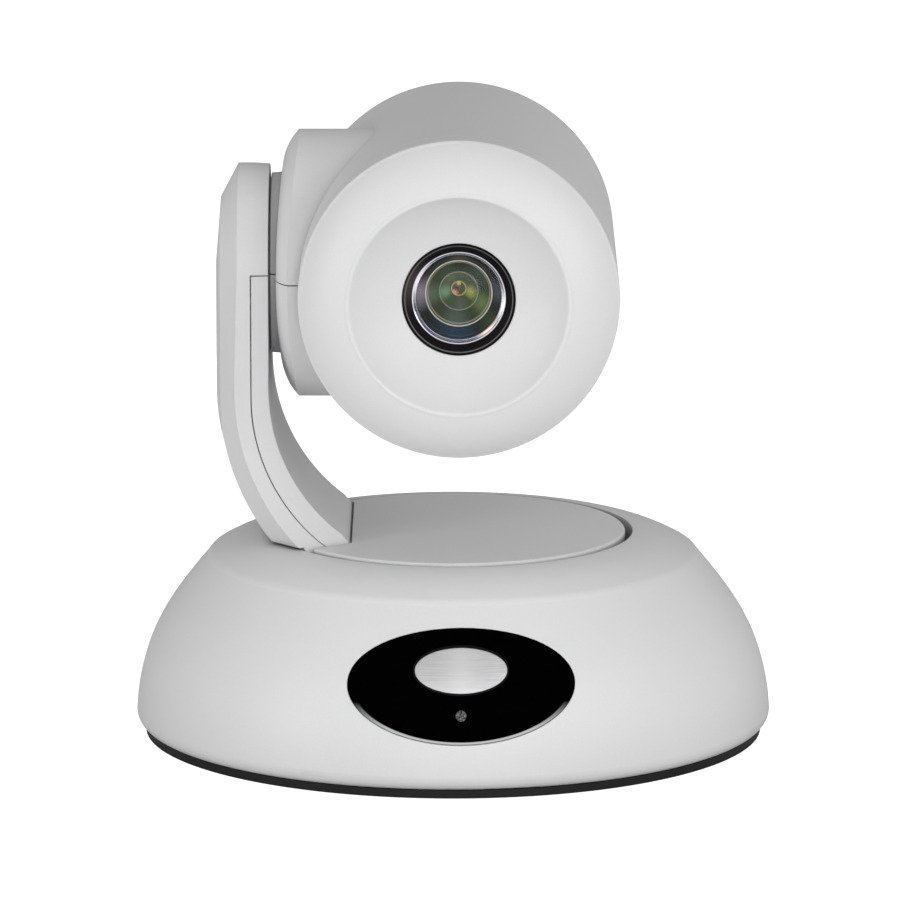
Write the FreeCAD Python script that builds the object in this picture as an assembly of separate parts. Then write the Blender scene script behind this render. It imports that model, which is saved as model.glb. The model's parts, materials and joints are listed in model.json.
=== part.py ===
import FreeCAD, Part
import math
import os

# Pan-tilt-zoom conference camera, millimetres.
# +Z is up, the lens faces -Y, the single arm stands on the -X side.
# The origin is where the pan axis meets the surface that the feet rest on.

V = FreeCAD.Vector
X = V(1, 0, 0)
Y = V(0, 1, 0)
Z = V(0, 0, 1)

# ---- driving dimensions -------------------------------------------------------------
# Dome of the base: radius and height along its outline, from the lower edge to the rim.
DOME = [(95.8, 3.0), (98.9, 4.4), (100.0, 7.5), (98.0, 21.0), (93.3, 34.0), (85.8, 46.0),
        (77.6, 56.2), (76.5, 57.6), (75.0, 58.5), (66.5, 62.2), (57.0, 63.9)]
DOME_WALL = 2.6
HOLE_R = 56.6
PLATE_R = 97.2
PLATE_STEP_R = 94.3
PLATE_BOTTOM = 0.4
SHELL_BOTTOM = 3.0
PLATE_TOP = 5.0
GAP = 0.1

# The optical axis stands this far to the right of the pan axis.
LENS_X = 1.8

# Oval window and badge on the front of the dome; both stand a little to the right as well.
WINDOW_X, WINDOW_Z, WINDOW_A, WINDOW_B = 2.5, 33.9, 34.9, 16.6
WINDOW_INSET = 0.5
BADGE_Z, BADGE_A, BADGE_B = 38.9, 14.7, 6.9
BADGE_EDGE = 0.55
EYE_Z, EYE_R = 26.0, 1.6

# Recess at the back of the dome that holds the sockets.
RECESS_X, RECESS_BOTTOM, RECESS_TOP, PANEL_Y, PANEL_T = 48.0, 7.0, 33.0, 74.0, 1.2

# Turntable.
DISC_R, DISC_TOP, DISC_T = 54.2, 64.5, 3.0
TRAY_R, TRAY_TOP, TRAY_T = 52.0, 61.3, 2.0
HUB_R, HUB_BORE = 12.0, 8.0
RUN = 0.05

# Tilt axis, barrel and pod.
TILT_Y, TILT_Z = 8.3, 148.0
BARREL_R, BARREL_WALL = 49.5, 2.2
BARREL_FRONT, BARREL_BACK = -49.4, 62.2
POD_R, POD_WALL, POD_LEAN = 42.0, 2.2, 0.0017
RECESS_FLOOR = -50.4
NECK_R, NECK_FACE = 28.8, -50.8
NECK_GAP = 0.3
HEAD_SEAM = 0.3
LENS_R = 17.3

# Arm.
ARM_HALF, ARM_IN, ARM_SIDE, ARM_BEVEL, ARM_OUT = 31.4, -57.5, -67.4, -72.9, -74.6
ARM_BEVEL_IN = 10.4
ARM_EASE_X, ARM_EASE = 4.8, 0.3
ARM_WALL = 2.2
ARM_SEAM_Z = 149.0
ARM_SEAM_GAP = 0.3
FOOT_Z = 61.5

# Gears: module, teeth of the wheel, teeth of the pinion.
PAN_GEAR = (0.8, 90, 18)
TILT_GEAR = (0.5, 90, 18)
PRESSURE = math.radians(20)
BACKLASH = 0.08

# Zoom block inside the head.
CASE_X, CASE_Z, CASE_FRONT, CASE_BACK, CASE_WALL = 26.0, 27.0, -38.0, 44.0, 1.5
ROD_X, ROD_R = 19.0, 1.5
SCREW_X, SCREW_Z, SCREW_R = 9.0, -21.0, 1.2
ZOOM_Y, FOCUS_Y = -26.0, 20.0


# ---- small helpers ------------------------------------------------------------------
def cyl(radius, start, length, axis=Z):
    return Part.makeCylinder(radius, length, V(*start), axis)


def tube(outer, inner, start, length, axis=Z):
    return cyl(outer, start, length, axis).cut(cyl(inner, start, length, axis))


def box(low, high):
    size = V(*high) - V(*low)
    return Part.makeBox(size.x, size.y, size.z, V(*low))


def fuse(shapes):
    result = shapes[0]
    for shape in shapes[1:]:
        result = result.fuse(shape)
    return result.removeSplitter()


def cut_all(shape, tools):
    for tool in tools:
        shape = shape.cut(tool)
    return shape


def group(shapes):
    return Part.makeCompound([solid for shape in shapes for solid in shape.Solids])


def outline(start, steps):
    """Closed face edges from a start point through lines, ("arc", middle, end) and splines."""
    edges = []
    here = start
    for step in steps:
        if step[0] == "arc":
            edges.append(Part.Arc(here, step[1], step[2]).toShape())
            here = step[2]
        elif step[0] == "spline":
            curve = Part.BSplineCurve()
            curve.interpolate([here] + step[1])
            edges.append(curve.toShape())
            here = step[1][-1]
        else:
            edges.append(Part.makeLine(here, step[1]))
            here = step[1]
    edges.append(Part.makeLine(here, start))
    return Part.Face(Part.Wire(edges))


def about_pan(steps, start):
    """Turn an outline in the XZ plane about the pan axis."""
    return outline(start, steps).revolve(V(0, 0, 0), Z, 360)


def ring_y(points):
    """Turn a closed polygon of (radius, y) about the lens axis."""
    wire = Part.makePolygon([V(r, y, TILT_Z) for r, y in points + points[:1]])
    return Part.Face(wire).revolve(V(0, 0, TILT_Z), Y, 360)


def spaced(count, radius, first=0.0):
    """Points evenly spaced on a circle about the pan axis."""
    turns = [math.radians(first + 360.0 * i / count) for i in range(count)]
    return [(radius * math.cos(t), radius * math.sin(t)) for t in turns]


def oval_prism(half_x, half_z, centre_z, first_y=-60.0, length=50.0):
    """Upright oval bar that runs forwards from first_y."""
    centre = V(WINDOW_X, first_y, centre_z)
    edge = Part.Ellipse(centre + V(half_x, 0, 0), centre + V(0, 0, half_z), centre).toShape()
    return Part.Face(Part.Wire([edge])).extrude(V(0, -length, 0))


def screw(head_r, head_h, shank_r, shank_l, at, axis):
    """Pan-head screw whose head starts at a point; the shank runs along the axis."""
    direction = V(*axis)
    seat = V(*at) + direction * head_h
    head = Part.makeCylinder(head_r, head_h, V(*at), direction)
    slot = Part.makeCylinder(head_r * 0.4, head_h * 0.5, V(*at), direction)
    shank = Part.makeCylinder(shank_r, shank_l, seat, direction)
    return head.cut(slot).fuse(shank).removeSplitter()


# ---- gears --------------------------------------------------------------------------
def involute_tooth(module, teeth):
    """Right-hand flank of a tooth centred on angle 0, as (radius, angle) pairs, root to tip."""
    pitch_r = module * teeth / 2.0
    base_r = pitch_r * math.cos(PRESSURE)
    root_r = pitch_r - 1.25 * module
    tip_r = pitch_r + 0.95 * module
    half = math.pi / (2 * teeth) - BACKLASH / (4 * pitch_r)
    pitch_inv = math.tan(PRESSURE) - PRESSURE
    flank = [(root_r, half + pitch_inv)]
    first = max(base_r, root_r)
    if root_r > base_r:
        flank = []
    for i in range(6):
        radius = first + (tip_r - first) * i / 5.0
        alpha = math.acos(min(1.0, base_r / radius))
        flank.append((radius, half + pitch_inv - (math.tan(alpha) - alpha)))
    return flank


def gear(module, teeth, width, bore_r, turn=0.0):
    """Spur gear about Z, from z = 0 to its width, with a tooth centred on the turn angle."""
    flank = involute_tooth(module, teeth)
    points = []
    for tooth in range(teeth):
        centre = turn + 2 * math.pi * tooth / teeth
        side = [(r, centre - a) for r, a in flank] + [(r, centre + a) for r, a in reversed(flank)]
        points += [V(r * math.cos(a), r * math.sin(a), 0) for r, a in side]
    face = Part.Face(Part.makePolygon(points + points[:1]))
    body = face.extrude(V(0, 0, width))
    if bore_r:
        body = body.cut(cyl(bore_r, (0, 0, -1), width + 2))
    return body


def lay_along_x(shape, x, y, z):
    """Turn a shape made about Z so that its axis lies along +X and move it into place."""
    shape = shape.copy()
    shape.rotate(V(0, 0, 0), Y, 90)
    shape.translate(V(x, y, z))
    return shape


# ---- base ---------------------------------------------------------------------------
def dome_points(inset):
    """Outline of the dome, moved inwards along its own normals."""
    moved = []
    for i, (r, z) in enumerate(DOME):
        before = DOME[max(i - 1, 0)]
        after = DOME[min(i + 1, len(DOME) - 1)]
        along = V(after[0] - before[0], 0, after[1] - before[1]).normalize()
        moved.append(V(r - inset * along.z, 0, z + inset * along.x))
    return moved


def dome_solid(inset):
    p = dome_points(inset)
    steps = [("line", V(p[0].x, 0, -1)), ("line", p[0]), ("arc", p[1], p[2]),
             ("spline", p[3:7]), ("arc", p[7], p[8]), ("arc", p[9], p[10]),
             ("line", V(0, 0, p[10].z))]
    return about_pan(steps, V(0, 0, -1))


def base_bosses():
    return spaced(4, 84.0, 45.0)


def make_base_shell():
    outer = dome_solid(0)
    shell = outer.cut(dome_solid(DOME_WALL))
    lip = tube(HOLE_R + 2.2, HOLE_R, (0, 0, 55.5), 10)
    bosses = [cyl(4.0, (x, y, PLATE_TOP + GAP), 45) for x, y in base_bosses()]
    tray = box((-RECESS_X - 2, PANEL_Y - 3, 2), (RECESS_X + 2, 105, RECESS_TOP + 2))
    ledge = dome_solid(DOME_WALL - 0.2).cut(dome_solid(DOME_WALL + 1.2))
    ledge = ledge.common(oval_prism(WINDOW_A + 3, WINDOW_B + 3, WINDOW_Z))
    shell = shell.cut(cyl(HOLE_R, (0, 0, 50), 20))
    shell = fuse([shell, ledge] + [part.common(outer) for part in [lip, tray] + bosses])
    cuts = [cyl(1.25, (x, y, 0), 20) for x, y in base_bosses()]
    cuts.append(box((-110, -110, -5), (110, 110, SHELL_BOTTOM)))
    cuts.append(box((-RECESS_X, PANEL_Y, RECESS_BOTTOM), (RECESS_X, 105, RECESS_TOP)))
    cuts.append(box((-RECESS_X + 2, PANEL_Y - 4, 0), (RECESS_X - 2, PANEL_Y, RECESS_TOP - 2)))
    cuts.append(cyl(PLATE_STEP_R + 0.2, (0, 0, 0), PLATE_TOP + GAP))
    shell = cut_all(shell, cuts)
    front = dome_solid(-1).cut(dome_solid(DOME_WALL - 0.2))
    shell = shell.cut(front.common(oval_prism(WINDOW_A, WINDOW_B, WINDOW_Z)))
    inner = dome_solid(0).common(oval_prism(WINDOW_A - 2, WINDOW_B - 2, WINDOW_Z))
    return shell.cut(inner)


def make_bottom_plate():
    plate = fuse([cyl(PLATE_R, (0, 0, PLATE_BOTTOM), SHELL_BOTTOM - PLATE_BOTTOM - 0.05),
                  cyl(PLATE_STEP_R, (0, 0, PLATE_BOTTOM), PLATE_TOP - PLATE_BOTTOM)])
    cuts = [cyl(7.0, (x, y, 0), 1.6) for x, y in spaced(4, 76.0)]
    cuts += [cyl(3.2, (x, y, 0), 3.0) for x, y in base_bosses() + frame_posts()]
    cuts += [cyl(1.6, (x, y, 0), 10.0) for x, y in base_bosses() + frame_posts()]
    cuts += [cyl(2.1, (x, y, 0), 10.0) for x in (-25, 25) for y in (-25, 25)]
    cuts.append(cyl(5.0, (0, 0, 0), 10.0))
    for i in range(7):
        x = -18.0 + 6.0 * i
        cuts.append(box((x - 1, -60, 0), (x + 1, -42, 10)))
    return cut_all(plate, cuts)


def make_feet():
    return group([cyl(6.9, (x, y, 0), 1.6) for x, y in spaced(4, 76.0)])


def make_tripod_insert():
    body = cyl(5.0, (0, 0, PLATE_BOTTOM), 9.2).fuse(cyl(7.5, (0, 0, PLATE_TOP), 1.4))
    return body.removeSplitter().cut(cyl(2.55, (0, 0, 0), 9.0))


def frame_posts():
    return [(-43.0, -20.0), (43.0, -20.0), (-43.0, 40.0), (43.0, 40.0)]


FRAME_TOP, FRAME_T = 50.0, 2.0
PAN_MOTOR_Y = PAN_GEAR[0] * (PAN_GEAR[1] + PAN_GEAR[2]) / 2.0
PAN_GEAR_Z = 53.5


def make_base_frame():
    low = FRAME_TOP - FRAME_T
    plate = box((-48, -25, low), (48, 62, FRAME_TOP))
    posts = [cyl(3.5, (x, y, PLATE_TOP), low - PLATE_TOP + 0.5) for x, y in frame_posts()]
    collar = cyl(18.0, (0, 0, low - 2), FRAME_T + 2)
    frame = fuse([plate, collar] + posts)
    cuts = [cyl(15.0, (0, 0, 30), 40), cyl(5.0, (0, PAN_MOTOR_Y, 30), 40)]
    cuts += [cyl(1.25, (x, y, 0), 16) for x, y in frame_posts()]
    cuts += [cyl(7.0, (x, 18.0, 30), 40) for x in (-33, 33)]
    return cut_all(frame, cuts)


def make_pan_bearing():
    sleeve = cyl(15.0, (0, 0, FRAME_TOP - 4), 5.0)
    flange = cyl(18.0, (0, 0, FRAME_TOP), 1.5)
    return sleeve.fuse(flange).removeSplitter().cut(cyl(HUB_R + RUN, (0, 0, 30), 40))


def make_pan_motor():
    top = FRAME_TOP - FRAME_T
    can = tube(17.5, 15.6, (0, PAN_MOTOR_Y, top - 20), 19.2)
    ends = [cyl(17.5, (0, PAN_MOTOR_Y, z), 1.4) for z in (top - 20, top - 2.2)]
    ears = box((-24, PAN_MOTOR_Y - 4, top - 1.0), (24, PAN_MOTOR_Y + 4, top))
    boss = cyl(4.9, (0, PAN_MOTOR_Y, top - 1.0), 3.0)
    plug = box((-7, PAN_MOTOR_Y - 20.5, top - 19), (7, PAN_MOTOR_Y - 16, top - 10))
    motor = fuse([can, ears, boss, plug] + ends)
    return motor.cut(cyl(1.55, (0, PAN_MOTOR_Y, top - 10), 20))


def make_pan_pinion():
    """Pinion, motor shaft and rotor, which turn as one piece."""
    module, _, teeth = PAN_GEAR
    wheel = gear(module, teeth, 4.0, 0, math.pi / teeth - math.pi / 2)
    wheel.translate(V(0, PAN_MOTOR_Y, PAN_GEAR_Z - 0.5))
    rotor_z = FRAME_TOP - FRAME_T - 18.2
    rotor = cyl(15.2, (0, PAN_MOTOR_Y, rotor_z), 15.6)
    shaft = cyl(1.5, (0, PAN_MOTOR_Y, rotor_z + 15), FRAME_TOP + 5 - rotor_z - 15)
    return fuse([wheel, shaft, rotor])


BOARD_BOTTOM, BOARD_T = 9.0, 1.6


def make_main_board():
    board = box((-50, -38, BOARD_BOTTOM), (50, PANEL_Y - 4, BOARD_BOTTOM + BOARD_T))
    cuts = [cyl(3.6, (x, y, 0), 40) for x, y in frame_posts()]
    cuts.append(cyl(8.5, (0, 0, 0), 40))
    return cut_all(board, cuts)


def make_board_chips():
    top = BOARD_BOTTOM + BOARD_T
    sizes = [(-30, 5, 12, 12, 1.4), (24, 8, 9, 9, 1.2), (-26, -20, 8, 14, 1.0),
             (20, -20, 10, 10, 2.0), (-8, 52, 6, 8, 1.6), (34, 50, 8, 6, 1.2)]
    chips = [box((x - a / 2, y - b / 2, top), (x + a / 2, y + b / 2, top + h))
             for x, y, a, b, h in sizes]
    return group(chips)


# Sockets on the rear panel: left edge, width, height of each.
NET_X, SERIAL_X, HDMI_X, USB_X, POWER_X, DIAL_X = 30.5, 14.0, -19.5, -1.5, -44.0, -31.5
SOCKET_Z = BOARD_BOTTOM + BOARD_T
SOCKET_BACK, SOCKET_FACE = PANEL_Y - 14, PANEL_Y + 0.6


def socket_block(x, width, height, depth_from=SOCKET_BACK):
    return box((x, depth_from, SOCKET_Z), (x + width, SOCKET_FACE, SOCKET_Z + height))


def phone_style_socket(x):
    """Eight-contact network style socket with a keyed opening."""
    width, height = 15.0, 13.5
    body = socket_block(x, width, height)
    mouth = box((x + 1.6, SOCKET_FACE - 11, SOCKET_Z + 1.6), (x + 13.4, SOCKET_FACE + 1, SOCKET_Z + 9.2))
    key = box((x + 4.6, SOCKET_FACE - 11, SOCKET_Z + 9), (x + 10.4, SOCKET_FACE + 1, SOCKET_Z + 11.8))
    body = cut_all(body, [mouth, key])
    pins = [box((x + 3.0 + 1.2 * i, SOCKET_FACE - 11, SOCKET_Z + 1.5),
                (x + 3.5 + 1.2 * i, SOCKET_FACE - 2, SOCKET_Z + 2.1)) for i in range(8)]
    return fuse([body] + pins)


def make_hdmi_jack():
    width, height = 15.0, 5.6
    body = socket_block(HDMI_X, width, height)
    lip = 0.5
    wide = box((HDMI_X + lip, SOCKET_FACE - 10, SOCKET_Z + 2.0),
               (HDMI_X + width - lip, SOCKET_FACE + 1, SOCKET_Z + height - lip))
    narrow = box((HDMI_X + 2, SOCKET_FACE - 10, SOCKET_Z + lip),
                 (HDMI_X + width - 2, SOCKET_FACE + 1, SOCKET_Z + 2.1))
    tongue = box((HDMI_X + 2.5, SOCKET_FACE - 10.5, SOCKET_Z + 2.4),
                 (HDMI_X + width - 2.5, SOCKET_FACE - 2, SOCKET_Z + 3.4))
    return fuse([cut_all(body, [wide, narrow]), tongue])


def make_usb_jack():
    width, height = 12.0, 10.8
    body = socket_block(USB_X, width, height)
    mouth = box((USB_X + 1.8, SOCKET_FACE - 10, SOCKET_Z + 1.4),
                (USB_X + width - 1.8, SOCKET_FACE + 1, SOCKET_Z + height - 1.6))
    tongue = box((USB_X + 3.4, SOCKET_FACE - 10.5, SOCKET_Z + 3.8),
                 (USB_X + width - 3.4, SOCKET_FACE - 1.5, SOCKET_Z + 6.8))
    return fuse([body.cut(mouth), tongue])


def make_power_jack():
    width, height = 9.0, 11.0
    body = socket_block(POWER_X, width, height)
    at = (POWER_X + width / 2, SOCKET_FACE - 9.5, SOCKET_Z + 6.2)
    pin = cyl(1.0, at, 8.5, Y)
    return fuse([body.cut(cyl(2.9, at, 20, Y)), pin])


DIAL_R = 3.6
DIAL_Z = SOCKET_Z + 6.0


def make_mode_switch():
    """Fixed body of the rotary mode selector."""
    body = box((DIAL_X, PANEL_Y - 9, SOCKET_Z), (DIAL_X + 10, PANEL_Y - PANEL_T - 0.1, SOCKET_Z + 12))
    cavity = cyl(DIAL_R - 1 + RUN, (DIAL_X + 5, PANEL_Y - 6, DIAL_Z), 10, Y)
    return body.cut(cavity)


def make_mode_dial():
    """Turning part of the selector, with a screwdriver slot and a pointer notch."""
    stem = cyl(DIAL_R - 1, (DIAL_X + 5, PANEL_Y - 5.9, DIAL_Z), 5, Y)
    knob = cyl(DIAL_R, (DIAL_X + 5, PANEL_Y - PANEL_T + 0.1, DIAL_Z), 2.4, Y)
    slot = box((DIAL_X + 4.5, PANEL_Y, DIAL_Z - 2.6), (DIAL_X + 5.5, PANEL_Y + 5, DIAL_Z + 4))
    return fuse([stem, knob]).cut(slot)


def make_connector_panel():
    plate = box((-RECESS_X + 0.2, PANEL_Y - PANEL_T, SHELL_BOTTOM + 2.1),
                (RECESS_X - 0.2, PANEL_Y, RECESS_TOP - 0.2))
    plate = plate.common(box((-RECESS_X + 2.2, 0, 0), (RECESS_X - 2.2, 100, RECESS_TOP - 2.2)))
    frames = [(NET_X, 15.0, 13.5), (SERIAL_X, 15.0, 13.5), (HDMI_X, 15.0, 5.6),
              (USB_X, 12.0, 10.8), (POWER_X, 9.0, 11.0)]
    cuts = [box((x - GAP, PANEL_Y - 3, SOCKET_Z - GAP), (x + w + GAP, PANEL_Y + 3, SOCKET_Z + h + GAP))
            for x, w, h in frames]
    cuts.append(cyl(DIAL_R + 0.2, (DIAL_X + 5, PANEL_Y - 4, DIAL_Z), 8, Y))
    cuts += [cyl(1.3, (x, PANEL_Y - 4, 28.0), 8, Y) for x in (-38, 38)]
    foot = box((-42, PANEL_Y - 8, PLATE_TOP), (42, PANEL_Y - PANEL_T + 0.1, PLATE_TOP + 1))
    return cut_all(fuse([plate, foot]), cuts)


def make_panel_screws():
    at_x = (-38, 38)
    return group([screw(2.4, 1.2, 1.25, 6.0, (x, PANEL_Y + 1.2, 28.0), (0, -1, 0)) for x in at_x])


def make_window():
    band = dome_solid(WINDOW_INSET).cut(dome_solid(DOME_WALL - 0.25))
    window = band.common(oval_prism(WINDOW_A - 0.15, WINDOW_B - 0.15, WINDOW_Z))
    return window.cut(cyl(EYE_R + 0.05, (WINDOW_X, -80, EYE_Z), 40, V(0, -1, 0)))


def make_badge(outset, inset, half_x, half_z):
    band = dome_solid(-outset).cut(dome_solid(inset))
    return band.common(oval_prism(half_x, half_z, BADGE_Z))


def make_badge_ring():
    ring = make_badge(0.5, WINDOW_INSET, BADGE_A, BADGE_B)
    return ring.cut(oval_prism(BADGE_A - BADGE_EDGE, BADGE_B - BADGE_EDGE, BADGE_Z))


def make_badge_plate():
    inner = BADGE_EDGE + 0.05
    return make_badge(0.35, WINDOW_INSET, BADGE_A - inner, BADGE_B - inner)


def make_ir_receiver():
    """Little lens that shows in the window, on the can of the remote-control receiver."""
    x = WINDOW_X
    front = dome_solid(WINDOW_INSET - 0.05).common(cyl(EYE_R, (x, -80, EYE_Z), 40, V(0, -1, 0)))
    can = box((x - 4, -90.5, EYE_Z - 4), (x + 4, -86, EYE_Z + 4))
    return fuse([front.common(box((x - 5, -110, 0), (x + 5, -86, 60))), can])


def make_front_board():
    x = WINDOW_X
    board = box((x - 24, -79, 22), (x + 24, -77.4, 42))
    leds = [box((x + side - 1.5, -80.2, 30), (x + side + 1.5, -79, 33)) for side in (-14, 14)]
    stalk = box((x - 3, -86, EYE_Z - 1.5), (x + 3, -79, EYE_Z + 1.5))
    feet = [box((x + side - 3, -79, PLATE_TOP), (x + side + 3, -77.4, 22.5)) for side in (-21, 21)]
    return fuse([board, stalk] + feet + leds)


def make_base_screws():
    places = base_bosses() + frame_posts()
    return group([screw(3.0, 2.0, 1.25, 11.0, (x, y, PLATE_BOTTOM + 0.2), (0, 0, 1)) for x, y in places])


# ---- turntable and arm --------------------------------------------------------------
def arc_x(z, centre_x, centre_z, radius):
    """X of the left-hand side of a circle at a height; straight above its centre."""
    drop = max(centre_z - z, 0.0)
    return centre_x - math.sqrt(radius ** 2 - drop ** 2)


def arm_inner(z):
    return arc_x(max(z, 65.0), 0.3, 113.0, 57.8)


def arm_side(z):
    return arc_x(z, -2.2, 112.0, 66.0) + 0.8 * max(z - 119.0, 0.0) / 29.0


def arm_outer(z):
    return arc_x(z, -8.2, 108.0, 66.4)


def arm_flare(z):
    """Extra half width of the outer face near the foot."""
    return 9.0 * max(0.0, (110.0 - z) / 46.0) ** 2


def arm_section(z, inset):
    """Level cut through the arm: flat inner face, two sides and a bevelled outer face."""
    near = ARM_HALF - inset
    far = near + arm_flare(z)
    bevel_x = arm_outer(z) - (ARM_OUT - ARM_BEVEL)
    share = ARM_EASE_X / (arm_inner(z) - arm_side(z))
    half = [(arm_inner(z) - inset, near - ARM_EASE),
            (arm_inner(z) - inset - ARM_EASE_X, near + arm_flare(z) * share),
            (arm_side(z) + inset * 0.4, far),
            (bevel_x + inset, far - ARM_BEVEL_IN + inset * 0.6), (arm_outer(z) + inset, 0.0)]
    left = [V(x, TILT_Y - y, z) for x, y in half]
    right = [V(x, TILT_Y + y, z) for x, y in reversed(half[:-1])]
    return Part.makePolygon(left + right + left[:1])


def arm_body(inset, low):
    """Whole arm, moved inwards by an inset, from its rounded top down to a height."""
    straight = [Part.makeLoft([arm_section(z, inset) for z in (TILT_Z, 119.0)], True, True)]
    bend = [arm_section(z, inset) for z in (119.0, 110.0, 100.0, 90.0, 80.0, 73.0, 67.0)]
    straight.append(Part.makeLoft(bend, True, False))
    foot = [arm_section(z, inset) for z in (67.0, 63.5, low)]
    straight.append(Part.makeLoft(foot, True, True))
    top = ARM_HALF - inset
    half = [V(ARM_IN - inset, TILT_Y, TILT_Z), V(ARM_IN - inset, TILT_Y, TILT_Z + top - ARM_EASE),
            V(ARM_IN - inset - ARM_EASE_X, TILT_Y, TILT_Z + top),
            V(ARM_SIDE + inset * 0.4, TILT_Y, TILT_Z + top),
            V(ARM_BEVEL + inset, TILT_Y, TILT_Z + top - ARM_BEVEL_IN + inset * 0.6),
            V(ARM_OUT + inset, TILT_Y, TILT_Z)]
    cap = Part.Face(Part.makePolygon(half + half[:1])).revolve(V(0, TILT_Y, TILT_Z), X, 360)
    upper = box((-90, TILT_Y - 50, TILT_Z), (0, TILT_Y + 50, TILT_Z + 60))
    return fuse([cap.common(upper)] + straight)


def arm_clearance(inset):
    """Space the turning arm may use: inside the hole of the dome low down, free above the rim."""
    neck = HOLE_R - 0.8 - inset
    rim = DOME[-1][1] + 0.7 + inset
    steps = [("line", V(neck, 0, 50)), ("line", V(neck, 0, rim)), ("line", V(130, 0, rim)),
             ("line", V(130, 0, 190)), ("line", V(0, 0, 190))]
    return about_pan(steps, V(0, 0, 50))


def arm_envelope(inset, low):
    return arm_body(inset, low).common(arm_clearance(inset))


def inner_side(shift):
    """Space on the lens side of the arm's seam and below its level seam."""
    top = ARM_SEAM_Z - shift
    heights = [110.3, 98.0, 86.0, 74.0, 60.0]
    seam = [V(arc_x(z, -5.3, 110.3, 57.5) + shift, -60, z) for z in heights]
    steps = [("line", V(0, -60, top)), ("line", V(seam[0].x, -60, top)), ("line", seam[0]),
             ("spline", seam[1:])]
    return outline(V(0, -60, 60), steps).extrude(V(0, 140, 0))


def neck_ring():
    """Short flared collar on the arm; its end stands in the pod's round recess."""
    length = NECK_FACE - ARM_IN
    at = V(ARM_IN, TILT_Y, TILT_Z)
    cone = Part.makeCone(NECK_R - 0.6, NECK_R, length, at, X)
    root = cyl(NECK_R - 2.2, (ARM_IN - 0.5, TILT_Y, TILT_Z), 1.2, X)
    groove = tube(NECK_R + 1, NECK_R - 2.2, (ARM_IN, TILT_Y, TILT_Z), 0.6, X)
    inside = cyl(NECK_R - 3.4, (ARM_IN - 1, TILT_Y, TILT_Z), length + 2, X)
    return cut_all(cone.cut(groove).fuse(root), [inside])


def make_arm_shells():
    solid = arm_envelope(0.0, FOOT_Z)
    cavity = arm_envelope(ARM_WALL, FOOT_Z - 2.0)
    shaft_hole = cyl(15.5, (-64, TILT_Y, TILT_Z), 12, X)
    arm = fuse([cut_all(solid, [cavity]), neck_ring()]).cut(shaft_hole)
    cover = arm.common(inner_side(0.0))
    outer = arm.cut(inner_side(-ARM_SEAM_GAP))
    return outer, cover


def arm_sheet(offset, thickness, half_width, low, high):
    """Bent metal strip that follows the arm's inner face at an offset."""
    heights = [high, 118.0, 110.0, 100.0, 90.0, 80.0, 73.0, 67.0]
    near = [V(arm_inner(z) - offset, 0, z) for z in heights]
    far = [V(arm_inner(z) - offset - thickness, 0, z) for z in reversed(heights)]
    steps = [("line", near[1]), ("spline", near[2:]), ("line", V(near[-1].x, 0, low)),
             ("line", V(far[0].x, 0, low)), ("line", far[0]), ("spline", far[1:-1]),
             ("line", far[-1])]
    strip = outline(near[0], steps).extrude(V(0, 2 * half_width, 0))
    strip.translate(V(0, TILT_Y - half_width, 0))
    return strip


TILT_PLATE_X = ARM_IN - 4.2
TILT_HUB_R, TILT_BORE = 11.0, 7.5
TILT_GEAR_X = TILT_PLATE_X - 2.5
TILT_DROP = TILT_GEAR[0] * (TILT_GEAR[1] + TILT_GEAR[2]) / 2.0


def make_arm_frame():
    tray = cyl(TRAY_R, (0, 0, TRAY_TOP - TRAY_T), TRAY_T)
    strip = arm_sheet(2.6, 1.6, 24.0, TRAY_TOP - 1.0, TILT_Z)
    eye = cyl(24.0, (TILT_PLATE_X, TILT_Y, TILT_Z), 1.6, X)
    frame = fuse([tray, strip, eye])
    cuts = [cyl(14.0, (-70, TILT_Y, TILT_Z), 20, X), cyl(6.0, (-70, TILT_Y, TILT_Z - TILT_DROP), 20, X)]
    cuts.append(cyl(HUB_BORE, (0, 0, 55), 10))
    cuts += [cyl(1.5, (x, y, 50), 14) for x, y in spaced(4, 20.0, 45)]
    cuts.append(box((-46, -11, 58), (0, -4, 62)))
    return cut_all(frame, cuts)


def make_tilt_bearing():
    start = (TILT_PLATE_X - 0.8, TILT_Y, TILT_Z)
    sleeve = cyl(14.0, start, 5.2, X)
    flange = cyl(15.4, (TILT_PLATE_X + 1.6, TILT_Y, TILT_Z), 1.0, X)
    bore = cyl(TILT_HUB_R + RUN, (-70, TILT_Y, TILT_Z), 30, X)
    return sleeve.fuse(flange).removeSplitter().cut(bore)


TILT_MOTOR_X = -71.2


def make_tilt_motor():
    z = TILT_Z - TILT_DROP
    can = tube(12.5, 11.2, (TILT_MOTOR_X, TILT_Y, z), 5.8, X)
    ends = [cyl(12.5, (x, TILT_Y, z), 0.8, X) for x in (TILT_MOTOR_X, TILT_MOTOR_X + 5.0)]
    ears = box((TILT_MOTOR_X + 4.8, TILT_Y - 18, z - 3), (TILT_MOTOR_X + 5.8, TILT_Y + 18, z + 3))
    spacers = [cyl(2.0, (TILT_MOTOR_X + 5.0, y, z), TILT_PLATE_X - TILT_MOTOR_X - 5.0, X)
               for y in (TILT_Y - 15.5, TILT_Y + 15.5)]
    motor = fuse([can, ears] + spacers + ends)
    return motor.cut(cyl(1.05, (TILT_MOTOR_X + 3.0, TILT_Y, z), 10, X))


def make_tilt_pinion():
    """Pinion, motor shaft and rotor, which turn as one piece."""
    module, _, teeth = TILT_GEAR
    z = TILT_Z - TILT_DROP
    wheel = gear(module, teeth, 2.2, 0, math.pi / teeth - math.pi)
    wheel = lay_along_x(wheel, TILT_GEAR_X - 0.3, TILT_Y, z)
    rotor = cyl(10.8, (TILT_MOTOR_X + 1.1, TILT_Y, z), 3.6, X)
    shaft = cyl(1.0, (TILT_MOTOR_X + 4.0, TILT_Y, z), 6.4, X)
    return fuse([wheel, shaft, rotor])


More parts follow.
